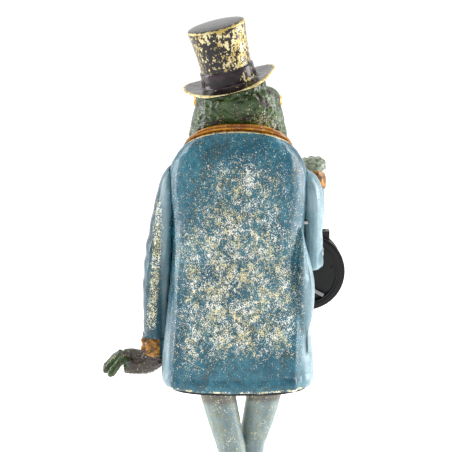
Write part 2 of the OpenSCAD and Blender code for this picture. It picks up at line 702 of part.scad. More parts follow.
module eyes() {
    color([0.75, 0.55, 0.12]) for (side = [-1, 1])
        translate([side * eye_socket[0], eye_socket[1], eye_socket[2]])
            rotate([0, 0, side * eye_aim[0]]) rotate([90 + 18, 0, 0]) translate([0, 0, 5.25])
                intersection() {
                    cylinder(h = 9, r = eye_radius - 0.05, $fn = 48);
                    translate([0, 0, -3.2]) sphere(r = 8.6, $fn = 48);
                }
}
rivet_spots = [[0, -7, 154], [0, 7, 154]];
nod_ratio = 2 * asin(nod_throw * sin(arm_swing / 2) / norm([nod_throw * cos(arm_swing / 2)
    + neck_height - shoulder_pivot[2], nod_throw * sin(arm_swing / 2)])) / arm_swing;
module head_tail() {
    hang = -nod_ratio * arm_swing / 2;
    color(steel) translate([tail_x[0], 0, neck_height]) difference() {
        union() {
            rotate([hang, 0, 0]) translate([0, -4.5, -27]) cube([tail_x[1] - tail_x[0], 9, 27]);
            translate([0, -11, -3]) cube([tail_x[1] - tail_x[0], 22, 11]);
        }
        rotate([hang, 0, 0]) translate([-1, -1.4, -28]) cube([5, 2.8, 9.5]);
        rotate([0, 90, 0]) translate([0, 0, -1]) cylinder(h = 6, r = pin_radius + 0.12, $fn = 48);
        for (p = rivet_spots) translate([-1, p[1], p[2] - neck_height]) rotate([0, 90, 0])
            cylinder(h = 6, r = 1.25, $fn = 32);
    }
}
module tail_rivets() {
    color(steel) for (p = rivet_spots) {
        x_bar(p, 5, 13, 1.2);
        x_bar(p, 12.04, 13.2, 2.1);
        x_bar(p, 4.8, 5.86, 2.1);
    }
}

// ---------------------------------------------------------------- hat
band_height = 11.2;
module crown_profile() {
    r = crown_radius;
    h = crown_height;
    polygon(concat(
        [[0, 0.4], [r + 0.8, 0.4], [r + 2.6, 1.6], [r + 1.6, 2.2], [r + 1.1, 4],
         [r + 0.7, 8], [r + 0.6, band_height - 0.4], [r + 0.5, band_height], [r, band_height + 0.3],
         [r + 0.05, 16], [r + 0.5, 24], [r + 1.4, 32], [r + 2.3, h - 2.4]],
        [for (a = [0:22.5:90]) [r + 0.9 + 1.5 * cos(a), h - 2 + 1.5 * sin(a)]],
        [[r - 1, h - 0.2], [r - 6, h + 0.25], [0, h + 0.5]]));
}
// Height of the brim over its seat: rolled up at the sides, dipped fore and aft
function brim_z(r, a) = let(t = max(0, (r - crown_radius - 1) / (brim_radius - crown_radius - 1)))
    3.4 * pow(t, 1.7) * pow(abs(cos(a)), 2.2) - 1.6 * t * pow(abs(sin(a)), 2);
module brim() {
    around = 40;
    radii = [12, 18, 21, 24, 27, brim_radius - 0.8];
    top = [for (r = radii) [for (i = [0:around - 1]) let(a = 360 * i / around)
        [r * cos(a), r * sin(a), brim_z(r, a) + 1.9]]];
    edge = [[for (i = [0:around - 1]) let(a = 360 * i / around)
        [brim_radius * cos(a), brim_radius * sin(a), brim_z(brim_radius, a) + 1]]];
    under = [for (j = [5:-1:0]) [for (i = [0:around - 1]) let(a = 360 * i / around, r = radii[j])
        [r * cos(a), r * sin(a), brim_z(r, a) + 0.1]]];
    loft(concat([for (j = [0:5]) under[5 - j]], edge, [for (j = [5:-1:0]) top[j]]));
}
module top_hat() {
    color(hat_black) hat_frame() casting() difference() {
        union() {
            rotate_extrude($fn = 40) crown_profile();
            brim();
        }
        difference() {
            translate([0, 0, -1]) cylinder(h = crown_height - 1.6, r = crown_radius - 2.7, $fn = 28);
            translate([0, 0, 6]) cylinder(h = 60, r = 3.6, $fn = 24);
        }
        translate([0, 0, -5]) cylinder(h = 25, r = 1.55, $fn = 20);
        translate([0, 0, -2]) cylinder(h = 2.05, r = 40, $fn = 48);
    }
}
module hat_screw() {
    color(steel) hat_frame() {
        translate([0, 0, -16]) cylinder(h = 32, r = 1.45, $fn = 40);
        translate([0, 0, -17.8]) cylinder(h = 3.7, r = 3.2, $fn = 40);
    }
}
tie_height = 127;
module bow_tie() {
    face = -front_depth_at(126) + 4;
    color([0.45, 0.10, 0.10]) casting() difference() {
        union() {
            for (s = [-1, 1]) hull() {
                translate([s * 1.5, face - 2.4, tie_height]) sphere(r = 2.6, $fn = 16);
                translate([s * 11, face - 1.6, tie_height + 4.6]) sphere(r = 1.9, $fn = 16);
                translate([s * 11, face - 1.6, tie_height - 4.6]) sphere(r = 1.9, $fn = 16);
            }
            translate([0, face - 3, tie_height]) scale([1, 0.8, 1.15]) sphere(r = 3.2, $fn = 20);
            y_bar([0, 0, tie_height], face - 2, face + 6, 1.2, 20);
        }
        difference() {
            coat_solid(touch_gap);
            y_bar([0, 0, tie_height], -60, 0, 1.25, 20);
        }
    }
}

// ---------------------------------------------------------------- legs
left_leg_keys = [
    [17, -32, 15, 13, 12.2], [18, -45, 14.6, 13, 12.4], [19.2, -60, 14.2, 12.6, 12.6],
    [19.6, -71, 13, 12.6, 13], [18.9, -78.5, 5.5, 13.2, 12.4], [17, -79.5, -8, 13.3, 12.4],
    [14.8, -79.3, -23, 12.9, 12], [11.2, -78.6, -41, 12, 11.4], [7, -78, -58, 10.8, 10.4],
    [3.8, -78, -71, 10, 10], [2.6, -78, -82, 9.4, 9.6], [2.6, -78, -90, 9.4, 9.6]
];
right_leg_keys = [
    [-21, -32, 15, 13, 12.2], [-23, -45, 14.6, 13, 12.4], [-25.4, -60, 14.2, 12.6, 12.6],
    [-26.2, -73, 13, 12.4, 13], [-25.4, -82, 5.5, 12.5, 12.2], [-22.6, -84, -8, 13, 12.2],
    [-20.6, -85.4, -23, 12.5, 11.8], [-17.4, -87, -41, 12, 11], [-13.4, -89.4, -58, 10.6, 10],
    [-10.4, -92.6, -71, 9.5, 9.4], [-10, -95, -82, 9.2, 9.4], [-10, -95.6, -90, 9.2, 9.4]
];
leg_screw_spots = [[18, 16], [-22, 16]];
module leg_fixing_holes() {
    for (s = leg_screw_spots) {
        y_bar([s[0], 0, s[1]], -60, -30, 1.8, 20);
        y_bar([s[0], 0, s[1]], -37.8, -30, 3.8, 20);
    }
}
module leg(keys, spot, foot) {
    difference() {
        limb(keys);
        coat_solid(lapel_rise + touch_gap);
        y_bar([spot[0], 0, spot[1]], -58, -30, 1.5, 20);
        translate(foot) translate([0, 0, -1]) cylinder(h = 16, r = 3.05, $fn = 28);
        translate(foot - [60, 60, 40]) cube([120, 120, 40]);
        // Flat that keeps clear of the shelf
        translate([-60, -66, -19.4]) cube([120, 60, 20]);
    }
}
left_ankle = [2.6, -78, -86];
right_ankle = [-10, -95.3, -86];
module left_leg() { color(trouser_grey) casting() leg(left_leg_keys, leg_screw_spots[0], left_ankle); }
module right_leg() { color(trouser_grey) casting() leg(right_leg_keys, leg_screw_spots[1], right_ankle); }
module leg_screws() {
    color(steel) for (s = leg_screw_spots) {
        y_bar([s[0], 0, s[1]], -56, -37.7, 1.45);
        y_bar([s[0], 0, s[1]], -37.75, -35.6, 3.4);
    }
}
// A webbed frog's foot pointing forwards, turned out by an angle, under an ankle
module foot(ankle, turn) {
    toes = [[-22, 33], [-7, 42], [8, 40], [24, 30]];
    translate(ankle) difference() {
        union() {
            limb([[0, 0, 1, 6.4, 6.8], [0, -0.2, -4, 6.6, 7.2], [0, -2.5, -8.5, 7.2, 8.6],
                  [0, -4, -12, 7, 9], [0, -4, -13.6, 5, 7]], count = 12, steps = 1);
            for (t = toes) rotate([0, 0, turn + t[0]])
                limb([[0, -2, -9, 5.4, 4.6], [0, -12, -9.4, 3.8, 3.4], [0, -t[1] * 0.66, -10.9, 2.5, 2.3],
                      [0, -t[1] + 3, -11.9, 2.7, 1.7], [0, -t[1], -12.3, 1.2, 0.9]],
                    count = 8, steps = 1);
            rotate([0, 0, turn]) translate([0, 0, -13.4]) linear_extrude(3.4)
                polygon(concat([[5, -2]], [for (i = [3:-1:0]) let(t = toes[i])
                    [-t[1] * 0.78 * sin(-t[0]), -t[1] * 0.78 * cos(t[0])]], [[-5, -2]]));
        }
        translate([-60, -60, -33.6]) cube([120, 120, 20]);
        translate([-60, -60, -touch_gap]) cube([120, 120, 20]);
        translate([0, 0, -6]) cylinder(h = 10, r = 3.05, $fn = 28);
    }
}
module left_foot() { color(skin_green) casting() foot(left_ankle, 16); }
module right_foot() { color(skin_green) casting() foot(right_ankle, -16); }
module foot_pins() {
    color(steel) for (a = [left_ankle, right_ankle])
        translate(a + [0, 0, -5.5]) cylinder(h = 18, r = 2.95, $fn = 40);
}

// ---------------------------------------------------------------- money drum
cover_radius = drum_radius - 1.9;
face_thick = 2.6;
module drum_frame() { translate(drum_centre) rotate([90, 0, 0]) children(); }
module slot_cut(grow = 0) {
    translate([-slot_length / 2 - grow, 10, drum_depth / 2 - slot_width / 2 - grow])
        cube([slot_length + 2 * grow, 40, slot_width + 2 * grow]);
}
// The drum's axis runs forward from its cover at z = 0 of the drum frame
module drum_body() {
    color(iron_black) drum_frame() difference() {
        union() {
            translate([0, 0, 4.2]) cylinder(h = drum_depth - 4.2, r = drum_radius - 1.6, $fn = 96);
            translate([0, 0, drum_depth - 3.4]) cylinder(h = 3.4, r = drum_radius - 0.8, $fn = 96);
            translate([0, 0, 4.2]) cylinder(h = 2.4, r = drum_radius, $fn = 96);
            // Raised lips of the coin slot
            translate([-slot_length / 2 - 2.4, 12, drum_depth / 2 - slot_width / 2 - 2.2])
                cube([slot_length + 4.8, drum_radius - 11.2, slot_width + 4.4]);
        }
        translate([0, 0, -1]) cylinder(h = drum_depth + 2, r = drum_radius - 1.6 - drum_wall, $fn = 96);
        translate([0, 0, drum_depth - face_thick]) cylinder(h = 10, r = drum_radius - 2.6, $fn = 96);
        slot_cut();
        for (a = bracket_angles) rotate([0, 0, a]) translate([15, 0, drum_depth / 2])
            rotate([0, 90, 0]) cylinder(h = 20, r = 1.5, $fn = 32);
    }
}
// Relief face: beaded rim and a five-pointed star
function star(r0, r1) = [for (i = [0:9]) let(r = i % 2 == 0 ? r0 : r1, a = 90 + 36 * i)
    [r * cos(a), r * sin(a)]];
module drum_face() {
    r = drum_radius - 2.65;
    color(brass) drum_frame() translate([0, 0, drum_depth - face_thick + 0.02]) {
        cylinder(h = face_thick, r = r, $fn = 96);
        translate([0, 0, face_thick - 0.01]) linear_extrude(0.9) polygon(star(13, 5.4));
        translate([0, 0, face_thick - 0.01]) difference() {
            cylinder(h = 0.8, r = 17.2, $fn = 96);
            translate([0, 0, -1]) cylinder(h = 3, r = 15.8, $fn = 96);
        }
        for (i = [0:23]) rotate([0, 0, 15 * i]) translate([r - 3, 0, face_thick - 0.01])
            cylinder(h = 0.9, r = 1.3, $fn = 24);
    }
}
// Moulded cover pressed into the back of the drum: thick rim, sunk web, finger bay
bay_half_angle = 48;
module cover_bay(h, inset) {
    intersection() {
        cylinder(h = h, r = cover_radius - 4.2 - inset, $fn = 96);
        translate([1, -24.5, 0]) cylinder(h = h, r = 19.5 - inset, $fn = 96);
    }
}
module drum_cover() {
    color(iron_black) drum_frame() difference() {
        union() {
            cylinder(h = 4.1, r = cover_radius, $fn = 96);
            translate([0, 0, 4]) cylinder(h = 5, r = drum_radius - 1.6 - drum_wall - 1.3, $fn = 96);
        }
        // Sunk web behind the rim, with a raised ring left between them
        translate([0, 0, -1]) cylinder(h = 2.6, r = cover_radius - 4.2, $fn = 96);
        translate([0, 0, -1]) difference() {
            cylinder(h = 1.9, r = cover_radius - 2.4, $fn = 96);
            translate([0, 0, -1]) cylinder(h = 5, r = cover_radius - 3.4, $fn = 96);
        }
        translate([0, 0, -1]) cover_bay(5.4, 0);
        translate([0, 0, 5.6]) cylinder(h = 10, r = drum_radius - 1.6 - drum_wall - 3.4, $fn = 96);
        for (p = cover_pips) translate([p[0], p[1], -1]) cylinder(h = 4, r = 0.8, $fn = 24);
        translate([pull_spot[0], pull_spot[1], -1]) rotate([0, 0, pull_turn])
            for (x = [-5.2, 5.2]) translate([x, 0, 0]) cylinder(h = 8, r = 1.02, $fn = 32);
        translate([boss_spot[0], boss_spot[1], -1]) cylinder(h = 8, r = 1.5, $fn = 32);
    }
}
cover_pips = [[-17.6, 4.2], [17.6, 4.2], [0, 18]];
pull_spot = [-6.7, -13.1];
pull_turn = 28;
boss_spot = [3.4, -10.3];
module cover_gasket() {
    r = drum_radius - 1.6 - drum_wall;
    color(iron_black) drum_frame() translate([0, 0, 5]) difference() {
        cylinder(h = 2.6, r = r - 0.03, $fn = 96);
        translate([0, 0, -1]) cylinder(h = 5, r = r - 1.27, $fn = 96);
    }
}
// Steel bar across the finger bay, to draw the cover by
module cover_pull() {
    color(steel) drum_frame() translate([pull_spot[0], pull_spot[1], 0]) rotate([0, 0, pull_turn]) {
        translate([-6.4, -1.2, 1.2]) cube([12.8, 2.4, 0.9]);
        for (x = [-5.2, 5.2]) translate([x, 0, 1.8]) cylinder(h = 3.7, r = 1, $fn = 32);
    }
}
// Turn button in the bay
module cover_boss() {
    color(iron_black) drum_frame() translate([boss_spot[0], boss_spot[1], 0]) difference() {
        union() {
            translate([0, 0, 1.4]) cylinder(h = 2.9, r = 3.6, $fn = 48);
            translate([0, 0, 4]) cylinder(h = 1.7, r = 1.45, $fn = 32);
        }
        translate([-2.6, -0.4, 1]) cube([5.2, 0.8, 1]);
    }
}
bracket_angles = [-62, -88];
module drum_bracket() {
    color(iron_black) casting() difference() {
        union() {
            intersection() {
                drum_frame() translate([0, 0, 7]) difference() {
                    cylinder(h = 11.5, r = drum_radius + 2.4, $fn = 72);
                    translate([0, 0, -1]) cylinder(h = 20, r = drum_radius - 1.6 + touch_gap, $fn = 72);
                }
                translate([-48.4, -100, 28]) cube([30, 60, 19]);
            }
            hull() {
                translate([-47, -78, 32]) cube([24, 10.5, 1]);
                translate([-38, -78, 18]) cube([24, 10.5, 1]);
            }
        }
        leg_solid_clearance();
        drum_frame() translate([0, 0, -1]) cylinder(h = 40, r = drum_radius - 1.6 + touch_gap, $fn = 72);
        drum_frame() for (a = bracket_angles) rotate([0, 0, a]) translate([20, 0, drum_depth / 2])
            rotate([0, 90, 0]) cylinder(h = 30, r = 1.6, $fn = 20);
    }
}
module leg_solid_clearance() { limb(right_leg_keys, grow = touch_gap); }
module bracket_screws() {
    color(steel) drum_frame() for (a = bracket_angles) rotate([0, 0, a])
        translate([drum_radius - 4.4, 0, drum_depth / 2]) rotate([0, 90, 0])
            cylinder(h = 5.6, r = 1.4, $fn = 32);
}

coat_back();
coat_front();
collar();
base_plate();
base_screws();
coat_screws();
left_arm();
left_hand();
right_upper_arm();
arm_screws();
right_forearm();
elbow_bush();
elbow_pin();
pull_rod();
shoulder_crank();
cross_shaft();
shaft_bushes();
counterweight_arm();
counterweight();
balance_spring();
nod_crank();
neck_pin();
head();
eyes();
head_tail();
tail_rivets();
top_hat();
hat_screw();
bow_tie();
left_leg();
right_leg();
left_foot();
right_foot();
leg_screws();
foot_pins();
drum_body();
drum_face();
drum_cover();
cover_gasket();
cover_pull();
cover_boss();
drum_bracket();
bracket_screws();
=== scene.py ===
"""Mechanical bank: a seated frog in a top hat and tail coat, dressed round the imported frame.

The figure faces -Y and his right side is at -X. Objects are in metres. Reliefs and materials work in
millimetres of the same frame, so a place in either is the place it has in the part.
"""
import itertools
import json
import math
import bpy
import numpy as np
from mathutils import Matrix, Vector

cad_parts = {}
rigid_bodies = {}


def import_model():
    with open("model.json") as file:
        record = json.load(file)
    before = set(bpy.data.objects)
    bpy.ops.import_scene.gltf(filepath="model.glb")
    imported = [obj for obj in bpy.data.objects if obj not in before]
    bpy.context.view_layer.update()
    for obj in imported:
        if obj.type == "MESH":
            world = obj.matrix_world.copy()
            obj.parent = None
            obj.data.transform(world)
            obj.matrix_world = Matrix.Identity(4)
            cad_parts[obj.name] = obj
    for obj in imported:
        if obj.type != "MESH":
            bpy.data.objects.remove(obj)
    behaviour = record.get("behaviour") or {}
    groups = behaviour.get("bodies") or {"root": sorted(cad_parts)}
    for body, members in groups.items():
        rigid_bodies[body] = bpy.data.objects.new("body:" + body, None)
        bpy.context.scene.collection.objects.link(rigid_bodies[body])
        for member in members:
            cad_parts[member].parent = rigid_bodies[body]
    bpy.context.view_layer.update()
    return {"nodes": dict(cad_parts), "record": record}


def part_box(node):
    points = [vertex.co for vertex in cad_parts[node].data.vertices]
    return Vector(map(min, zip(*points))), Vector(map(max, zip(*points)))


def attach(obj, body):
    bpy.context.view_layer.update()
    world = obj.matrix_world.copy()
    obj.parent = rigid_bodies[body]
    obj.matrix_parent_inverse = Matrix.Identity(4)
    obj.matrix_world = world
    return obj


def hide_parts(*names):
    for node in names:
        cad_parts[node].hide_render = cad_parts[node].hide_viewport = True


for o in list(bpy.data.objects):
    bpy.data.objects.remove(o)
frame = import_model()
nodes = frame["nodes"]


# ------------------------------------------------------------------ shared places, in millimetres
# Foot of the hat on the head, and the way the hat leans
HAT_SEAT = np.array([5, 3, 198.5])
HAT_AXIS = np.array([0.2372, 0.1045, 0.9658])
# Heights up the hat's axis
BAND_FOOT = 1.8
BAND_TOP = 11.4
CROWN_TOP = 38.6
# The forearm runs from the elbow along this line; its cuff spans these two distances
ELBOW = np.array([-49, -12, 86])
FOREARM_LINE = np.array([-0.02, -0.417, 0.909])
CUFF_FOOT = 42.2
CUFF_TOP = 53.6
# Top edge of the left cuff, and its two buttons
LEFT_CUFF_EDGE = 28.4
LEFT_CUFF_BUTTONS = (24.2, 18.8)
LEFT_CUFF_BUTTON_X = 59.5
# Middle of the right upper sleeve: its X, and its Y at four heights
SLEEVE_X = -48.8
SLEEVE_HEIGHTS = (75, 89, 112, 133)
SLEEVE_Y = (-13, -9.5, -1.5, 2.4)
# The line where the collar meets the coat: its height at Y 0, and how steeply it rises along Y behind
# that and in front of it
COLLAR_FOOT = 152.6
COLLAR_SLOPE_BEHIND = 0.89
COLLAR_SLOPE_IN_FRONT = 0.44
# Eyeball centre on the left side, and the pupil from there
EYE = (19, -25, 184.5)
PUPIL_SHIFT = (7.8, -6.1, -3.2)


# ------------------------------------------------------------------ noise on arrays of points
rng = np.random.default_rng(7)
PERM = rng.permutation(256)
GRAD = rng.normal(size=(256, 3))
GRAD /= np.linalg.norm(GRAD, axis=1)[:, None]


def perlin(p):
    """Gradient noise at points p, one a row, from about -1 to 1, with features one unit across."""
    cell = np.floor(p).astype(int)
    inside = p - cell
    ease = inside * inside * inside * (inside * (inside * 6 - 15) + 10)
    out = 0
    for corner in itertools.product((0, 1), repeat=3):
        mixed = PERM[(cell[:, 0] + corner[0]) & 255]
        mixed = PERM[(mixed + cell[:, 1] + corner[1]) & 255]
        mixed = PERM[(mixed + cell[:, 2] + corner[2]) & 255]
        weight = np.where(corner, ease, 1 - ease).prod(1)
        out = out + ((inside - corner) * GRAD[mixed]).sum(1) * weight
    return out


def fbm(p, octaves):
    """Layers of noise, each half as strong and about half as broad as the one before."""
    out = 0
    for octave in range(octaves):
        out = out + 0.5 ** octave * perlin(p)
        p = p * 2.03 + 11.7
    return out


def smooth(a, b, x):
    """0 at a, 1 at b and beyond, eased between; a may be above b."""
    t = np.clip((x - a) / (b - a), 0, 1)
    return t * t * (3 - 2 * t)


def hump(distance, width):
    """1 where the distance is 0, falling away over the width."""
    return np.exp(-(distance / width) ** 2)


def line_distance(x, z, points):
    """Distance from each (x, z) to a broken line."""
    best = np.full(len(x), 1e9)
    for (x0, z0), (x1, z1) in zip(points[:-1], points[1:]):
        dx = x1 - x0
        dz = z1 - z0
        t = np.clip(((x - x0) * dx + (z - z0) * dz) / (dx * dx + dz * dz), 0, 1)
        best = np.minimum(best, np.hypot(x - x0 - t * dx, z - z0 - t * dz))
    return best


# ------------------------------------------------------------------ reliefs
# Each takes points p in millimetres and unit normals n, and gives how far the surface rises.
def coat_back_relief(p, n):
    x, y, z = p.T
    outside = smooth(0.2, 0.6, n[:, 1])
    # Broad hammered undulation of the cast back, with soft folds running down to the hem
    rise = 0.5 * perlin(p / (16, 30, 38)) + 0.2 * fbm(p / (6, 9, 9), 2)
    rise += np.sin(x * 0.30 + 1.6 * perlin(p / (40, 40, 50))) * smooth(60, 10, z) * 0.35
    # The corners where the back turns into the sides stand up as soft ridges
    right = x - np.interp(z, (20, 63, 93, 135), (-36, -38.5, -41.5, -43))
    left = x - np.interp(z, (20, 50, 93, 135), (41.5, 39, 41, 43))
    rise += 0.9 * hump(right, 2.0) - 1.3 * hump(right + 6, 3.2)
    rise += 0.6 * hump(left, 2.4) - 0.8 * hump(left - 5, 3.0)
    # Turned hem with a groove above it
    rise += 0.45 * hump(z - 6.5, 3) - 0.2 * hump(z - 11.5, 1.1)
    # A crease near the right side, hooked at its foot
    crease = line_distance(x, z, [(-44.2, 43), (-44.9, 31), (-45.4, 25), (-46.4, 24)])
    return rise * outside - 1.2 * hump(crease, 0.6) * (n[:, 1] > 0)


def coat_front_relief(p, n):
    outside = smooth(0.1, 0.5, -n[:, 1])
    return (0.3 * perlin(p / (14, 20, 22)) + 0.15 * fbm(p / (5, 8, 8), 2)) * outside


def sleeve_relief(p, n):
    """Slight waves, with deeper folds in the crook of the arm."""
    y = p[:, 1]
    z = p[:, 2]
    folds = np.sin(z * 0.42 + y * 0.2 + 2.4 * perlin(p / 20)) * (0.10 + 0.22 * hump(z - 88, 24))
    return 0.3 * perlin(p / 12) + folds


def right_sleeve_relief(p, n):
    """Folds outside; above the elbow the inside opens a little, so that the rod and crank run clear."""
    x, y, z = p.T
    middle_y = np.interp(z, SLEEVE_HEIGHTS, SLEEVE_Y)
    outside = smooth(-0.2, 0.2, (x - SLEEVE_X) * n[:, 0] + (y - middle_y) * n[:, 1])
    inside = (1 - outside) * smooth(92, 98, z)
    return sleeve_relief(p, n) * outside - 0.4 * inside


def left_sleeve_relief(p, n):
    """Folds above the cuff, the cuff's turned edge, and two round buttons with a dip round each."""
    x, y, z = p.T
    rise = sleeve_relief(p, n) * smooth(24, 34, z)
    for height in LEFT_CUFF_BUTTONS:
        r = np.hypot(x - LEFT_CUFF_BUTTON_X, z - height)
        button = 0.9 * np.exp(-(r / 2.0) ** 6) - 0.5 * hump(r - 2.7, 0.6)
        rise += button * (n[:, 1] > 0.1)
    return rise - 0.45 * hump(z - LEFT_CUFF_EDGE, 0.8)


def skin_relief(p, n):
    """Flowing ridges, like worms of metal, with a fine grain."""
    warp = np.stack([perlin(p / 11 + 3), perlin(p / 11 + 17), perlin(p / 11 + 31)], 1)
    ridge = 1 - np.abs(perlin((p + 6.5 * warp) / (5.5, 5.5, 2.6))) * 3.6
    return 0.75 * np.clip(ridge, -0.45, 1) + 0.16 * perlin(p / 1.8)


def hand_relief(p, n):
    return 0.5 * skin_relief(p, n)


def foot_relief(p, n):
    return 0.4 * skin_relief(p, n)


def forearm_relief(p, n):
    along_arm = (p - ELBOW) @ FOREARM_LINE
    hand = smooth(CUFF_TOP + 1, CUFF_TOP + 4, along_arm)
    return 0.3 * skin_relief(p, n) * hand + 0.25 * perlin(p / 10) * (1 - hand)


def head_relief(p, n):
    """Ridged skin that fades round the eyes, at the neck and on the hollow's walls."""
    neck = smooth(152, 158, p[:, 2])
    left_eye = np.linalg.norm(p - EYE, axis=1)
    right_eye = np.linalg.norm(p - (-EYE[0], EYE[1], EYE[2]), axis=1)
    calm = smooth(9.6, 13, np.minimum(left_eye, right_eye))
    inner = np.linalg.norm((p - (0, -10, 172)) / (1.02, 1.05, 0.8), axis=1)
    return skin_relief(p, n) * neck * (0.15 + 0.85 * calm) * smooth(24, 28, inner)


def hat_relief(p, n):
    """A raised band with a groove over it, and a faint unevenness."""
    from_seat = p - HAT_SEAT
    height = from_seat @ HAT_AXIS
    radius = np.linalg.norm(from_seat - height[:, None] * HAT_AXIS, axis=1)
    on_crown = radius < 19.5
    band = smooth(BAND_FOOT - 0.2, BAND_FOOT + 0.8, height) * smooth(BAND_TOP, BAND_TOP - 0.6, height)
    groove = hump(height - BAND_TOP - 0.2, 0.45)
    outside = smooth(14.5, 15.5, radius)
    return (0.14 * fbm(p / 7, 2) + (0.35 * band - 0.3 * groove) * on_crown) * outside


def collar_relief(p, n):
    return 0.12 * perlin(p / 6) + 0.08 * perlin(p / 2)


def leg_relief(p, n):
    """Cloth folds, deepest at the knee and above the foot."""
    x, y, z = p.T
    bunched = hump(z - 4, 16) + 0.6 * hump(z + 82, 8)
    folds = np.sin(z * 0.62 + x * 0.1 + 2 * perlin(p / 16)) * (0.04 + 0.35 * bunched)
    return 0.3 * perlin(p / 13) + folds


# ------------------------------------------------------------------ castings
def remeshed(obj, voxel, passes):
    """The object's mesh as one even skin of small faces, smoothed. The voxel is in millimetres."""
    weld = obj.modifiers.new("weld", "WELD")
    weld.merge_threshold = 1e-6
    remesh = obj.modifiers.new("remesh", "REMESH")
    remesh.mode = "VOXEL"
    remesh.voxel_size = voxel / 1000
    remesh.adaptivity = 0
    soften = obj.modifiers.new("smooth", "SMOOTH")
    soften.factor = 0.5
    soften.iterations = passes
    depsgraph = bpy.context.evaluated_depsgraph_get()
    mesh = bpy.data.meshes.new_from_object(obj.evaluated_get(depsgraph))
    obj.modifiers.clear()
    return mesh


def vectors(items, attribute):
    """One vector attribute of a mesh's vertices or normals, as rows of floats."""
    flat = np.empty(len(items) * 3, np.float32)
    items.foreach_get(attribute, flat)
    return flat.reshape(-1, 3).astype(float)


def work_over(mesh, relief):
    """Moves each vertex along its normal by the relief's height there."""
    places = vectors(mesh.vertices, "co")
    normals = vectors(mesh.vertex_normals, "vector")
    rise = relief(places * 1000, normals) / 1000
    places += normals * rise[:, None]
    mesh.vertices.foreach_set("co", places.astype(np.float32).ravel())


def casting(node, voxel, relief, passes, body):
    """A finer mesh that stands in for a node, made from the node's own shape."""
    obj = bpy.data.objects.new("cast_" + node, nodes[node].data.copy())
    bpy.context.scene.collection.objects.link(obj)
    obj.data = remeshed(obj, voxel, passes)
    if relief:
        work_over(obj.data, relief)
    obj.data.polygons.foreach_set("use_smooth", [True] * len(obj.data.polygons))
    obj.data.update()
    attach(obj, body)
    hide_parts(node)
    return obj


# ------------------------------------------------------------------ material builder
def linear(channel):
    """A display value from 0 to 255 as linear light from 0 to 1."""
    c = channel / 255
    return c / 12.92 if c <= 0.04045 else ((c + 0.055) / 1.055) ** 2.4


def srgb(r, g, b):
    return (linear(r), linear(g), linear(b), 1)


def per_axis(scale):
    return scale if isinstance(scale, tuple) else (scale,) * 3


class Nodes:
    """Adds nodes to one tree. Wherever a value goes in, another node's output may go in instead."""

    def __init__(self, tree):
        self.tree = tree

    def node(self, kind, **settings):
        made = self.tree.nodes.new(kind)
        for setting, value in settings.items():
            setattr(made, setting, value)
        return made

    def put(self, socket, value):
        if isinstance(value, bpy.types.NodeSocket):
            self.tree.links.new(value, socket)
        else:
            socket.default_value = value

    def math(self, operation, a, b=0.0, c=0.0, clamp=False):
        made = self.node("ShaderNodeMath", operation=operation, use_clamp=clamp)
        for socket, value in zip(made.inputs, (a, b, c)):
            self.put(socket, value)
        return made.outputs[0]

    def step(self, value, start, end, low=0.0, high=1.0):
        """Eases from low to high as the value goes from start to end; start may be above end."""
        made = self.node("ShaderNodeMapRange", interpolation_type="SMOOTHSTEP")
        self.put(made.inputs["Value"], value)
        self.put(made.inputs["From Min"], start)
        self.put(made.inputs["From Max"], end)
        self.put(made.inputs["To Min"], low)
        self.put(made.inputs["To Max"], high)
        return made.outputs[0]


